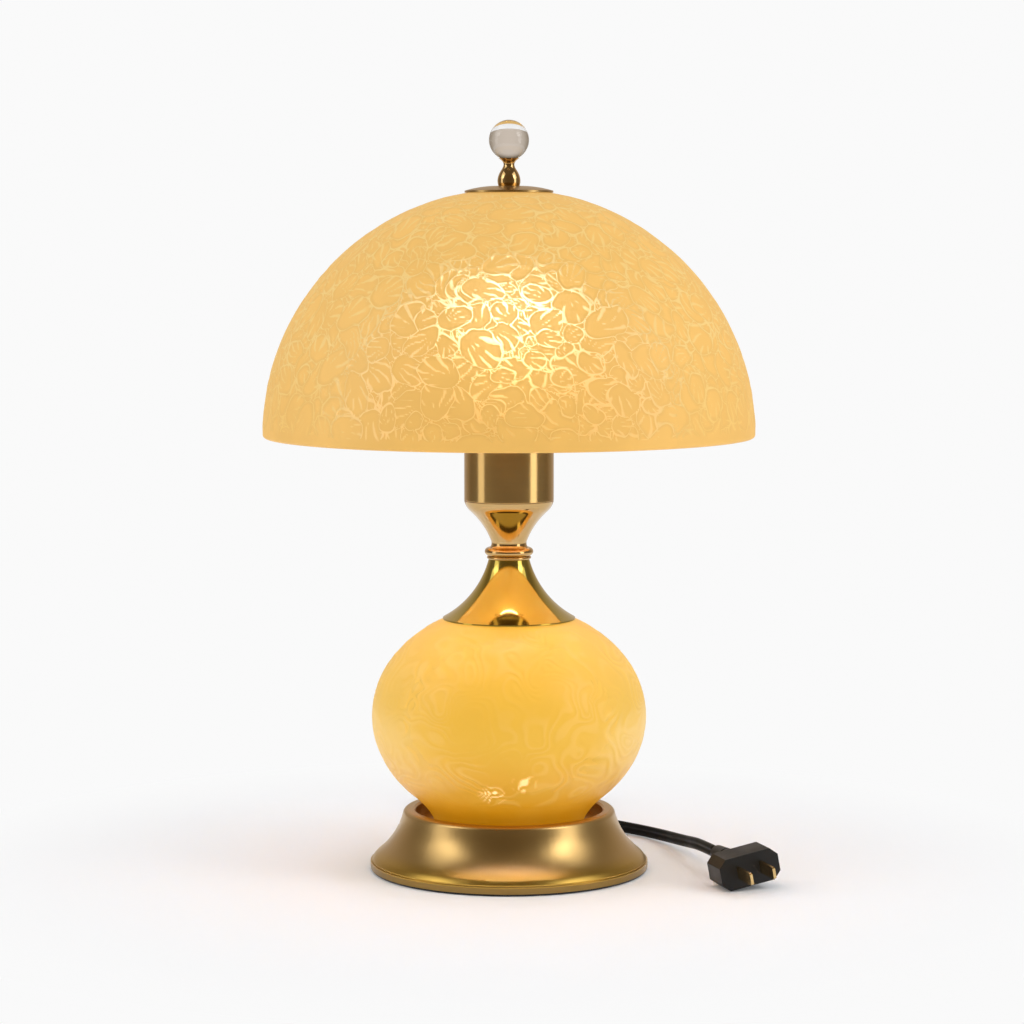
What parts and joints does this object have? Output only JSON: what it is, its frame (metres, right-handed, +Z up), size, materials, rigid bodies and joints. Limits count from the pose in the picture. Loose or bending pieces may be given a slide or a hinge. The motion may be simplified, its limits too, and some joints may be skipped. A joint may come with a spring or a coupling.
{
  "type": "table lamp",
  "caption": "Table lamp with a frosted amber glass dome on a harp, a turned brass column over an amber glass globe, a weighted flared brass base and a black flat cord with a plug.",
  "frame": {"origin": "on the floor under the middle of the base", "axes": "+Z up along the lamp's axis, +Y towards the back where the cord leaves the base"},
  "size_m": [0.2724, 0.3489, 0.4],
  "materials": {
    "felt": "felt",
    "plated_steel": "zinc plated",
    "iron": "as cast",
    "brass_satin": "satin",
    "brass_polished": "polished",
    "brass_brushed": "brushed round the tube",
    "brass_plain": "plain",
    "bulb_metal": "drawn",
    "amber_shade_glass": "frosted, crackled",
    "amber_globe_glass": "gloss, swirled",
    "clear_glass": "gloss",
    "bulb_glass": "gloss",
    "filament": "coated, lit",
    "black_rubber": "matt",
    "black_cord": "satin",
    "black_plastic": "satin",
    "black_fabric": "woven tape"
  },
  "bodies": {
    "lamp": {"felt_pad": "felt", "bottom_cover": "plated_steel", "base_casting": "brass_satin", "base_weight": "iron", "rod_washer": "plated_steel", "rod_nut_lower": "plated_steel", "threaded_rod": "plated_steel", "inner_lead": "black_cord", "cord_bushing": "black_plastic", "seat_gasket": "black_rubber", "globe": "amber_globe_glass", "globe_gasket": "black_rubber", "globe_washer": "plated_steel", "globe_nut": "plated_steel", "skirt": "brass_polished", "neck_ring": "brass_polished", "neck_taper": "brass_polished", "socket_cup": "brass_brushed", "harp_saddle": "brass_plain", "rod_nut_upper": "plated_steel", "socket_cap": "black_plastic", "socket_body": "black_plastic", "socket_contact": "brass_plain", "socket_screw_shell": "brass_plain", "socket_shell": "black_plastic", "harp_frame": "brass_plain", "harp_stud": "brass_plain", "seat_washer": "brass_plain", "cord_to_coil": "black_cord", "cord_coil": "black_cord", "coil_tie": "black_fabric", "cord_to_plug": "black_cord", "plug_strain_relief": "black_plastic", "plug_body": "black_plastic", "plug_blade_left": "brass_plain", "plug_blade_right": "brass_plain"},
    "shade": {"shade": "amber_shade_glass", "shade_gasket_inner": "black_rubber", "shade_gasket_outer": "black_rubber", "shade_cap": "brass_satin"},
    "finial": {"finial_stem": "brass_polished", "finial_ball": "clear_glass"},
    "bulb": {"bulb_contact": "plated_steel", "bulb_insulator": "black_plastic", "bulb_screw_cap": "bulb_metal", "bulb_envelope": "bulb_glass", "bulb_stem": "bulb_glass", "bulb_filament": "filament"},
    "knob": {"switch_knob": "black_plastic", "switch_shaft": "plated_steel"},
    "sleeve_left": {"harp_sleeve_left": "brass_plain"},
    "sleeve_right": {"harp_sleeve_right": "brass_plain"}
  },
  "joints": [
    {"name": "shade_turn", "type": "hinge", "parent": "lamp", "child": "shade", "pos_m": [0, 0, 0.36], "axis": [0, 0, 1], "continuous": true},
    {"name": "finial_turn", "type": "hinge", "parent": "lamp", "child": "finial", "pos_m": [0, 0, 0.37], "axis": [0, 0, 1], "range_deg": [0, 2160]},
    {"name": "bulb_turn", "type": "hinge", "parent": "lamp", "child": "bulb", "pos_m": [0, 0, 0.24], "axis": [0, 0, 1], "range_deg": [0, 900]},
    {"name": "switch_turn", "type": "hinge", "parent": "lamp", "child": "knob", "pos_m": [0, 0.03, 0.22323], "axis": [0, 1, 0], "continuous": true},
    {"name": "sleeve_left_slide", "type": "slide", "parent": "lamp", "child": "sleeve_left", "axis": [0, 0, 1], "range_m": [0, 0.012]},
    {"name": "sleeve_right_slide", "type": "slide", "parent": "lamp", "child": "sleeve_right", "axis": [0, 0, 1], "range_m": [0, 0.012]}
  ]
}
